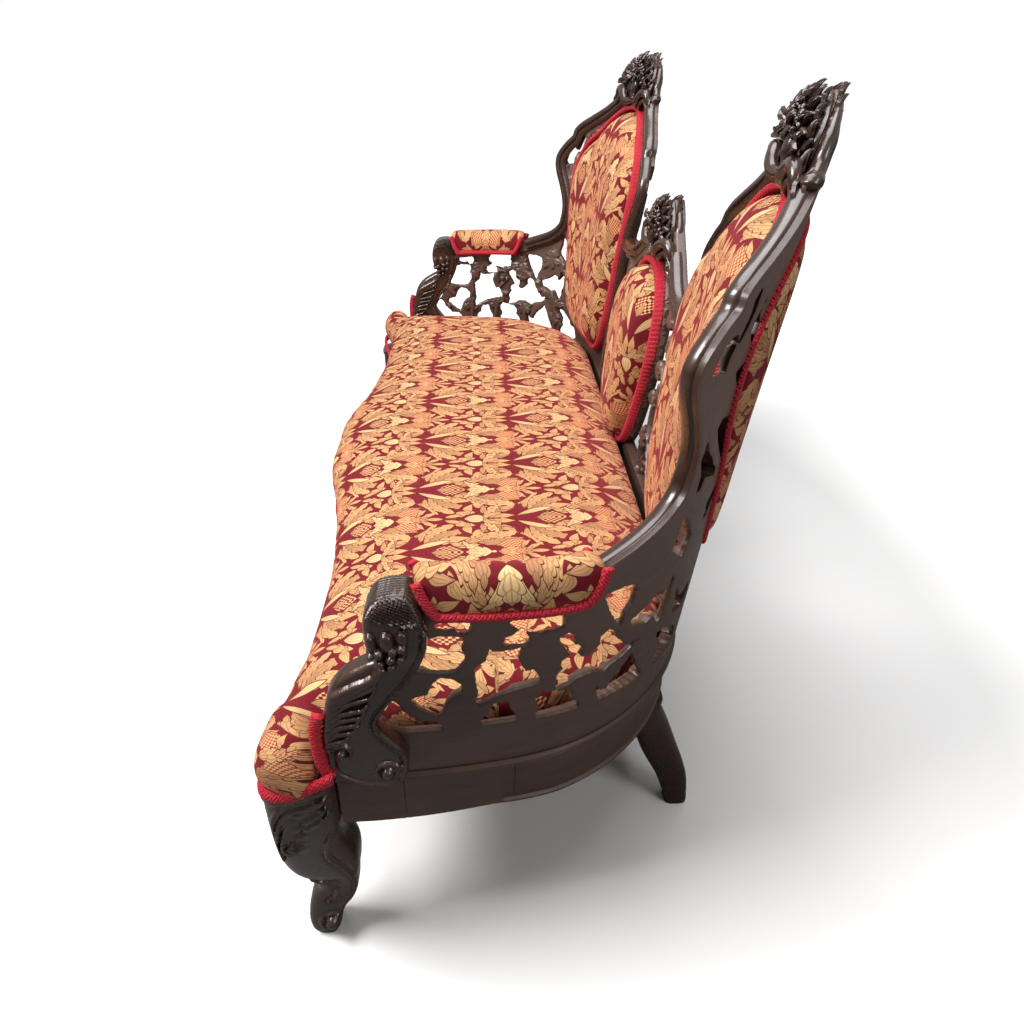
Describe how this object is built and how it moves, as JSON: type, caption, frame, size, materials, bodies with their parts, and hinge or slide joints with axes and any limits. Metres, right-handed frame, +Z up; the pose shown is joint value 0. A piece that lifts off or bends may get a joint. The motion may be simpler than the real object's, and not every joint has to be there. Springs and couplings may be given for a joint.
{
  "type": "settee",
  "caption": "Upholstered settee with a bent, pierced and carved wooden back that runs into curved arms, and a deep seat with a serpentine front.",
  "frame": {"origin": "centre of the bounding box, at floor level", "axes": "+Z up, the sitter faces -Y, and the sitter's left is +X"},
  "size_m": [1.824, 0.7578, 1.16],
  "materials": {
    "carved_wood": "dark rosewood, satin polish",
    "damask": "woven damask in gold and tan on burgundy",
    "gimp_braid": "crimson looped braid",
    "seat_frame": "plain sawn wood",
    "webbing": "woven jute"
  },
  "bodies": {
    "root": {"centre_back": "carved_wood", "front_centre_pad": "damask", "front_centre_braid": "gimp_braid", "rear_centre_pad": "damask", "rear_centre_braid": "gimp_braid", "centre_crest": "carved_wood", "seat_cushion": "damask", "seat_braid": "gimp_braid", "front_rail": "carved_wood", "back_rail": "carved_wood", "seat_webbing": "webbing", "left_side_wall": "carved_wood", "right_side_wall": "carved_wood", "left_arm_post": "carved_wood", "right_arm_post": "carved_wood", "left_outer_rim": "carved_wood", "right_outer_rim": "carved_wood", "left_inner_rim": "carved_wood", "right_inner_rim": "carved_wood", "left_centre_rim": "carved_wood", "right_centre_rim": "carved_wood", "left_front_tall_pad": "damask", "right_front_tall_pad": "damask", "left_front_tall_braid": "gimp_braid", "right_front_tall_braid": "gimp_braid", "left_rear_tall_pad": "damask", "right_rear_tall_pad": "damask", "left_rear_tall_braid": "gimp_braid", "right_rear_tall_braid": "gimp_braid", "left_crest": "carved_wood", "right_crest": "carved_wood", "left_arm_pad": "damask", "right_arm_pad": "damask", "left_arm_braid": "gimp_braid", "right_arm_braid": "gimp_braid", "left_side_rail": "carved_wood", "right_side_rail": "carved_wood", "left_front_leg": "carved_wood", "right_front_leg": "carved_wood", "left_rear_leg": "carved_wood", "right_rear_leg": "carved_wood", "left_brace": "seat_frame", "right_brace": "seat_frame", "left_rear_block": "seat_frame", "right_rear_block": "seat_frame", "left_front_block": "seat_frame", "right_front_block": "seat_frame"}
  },
  "joints": []
}
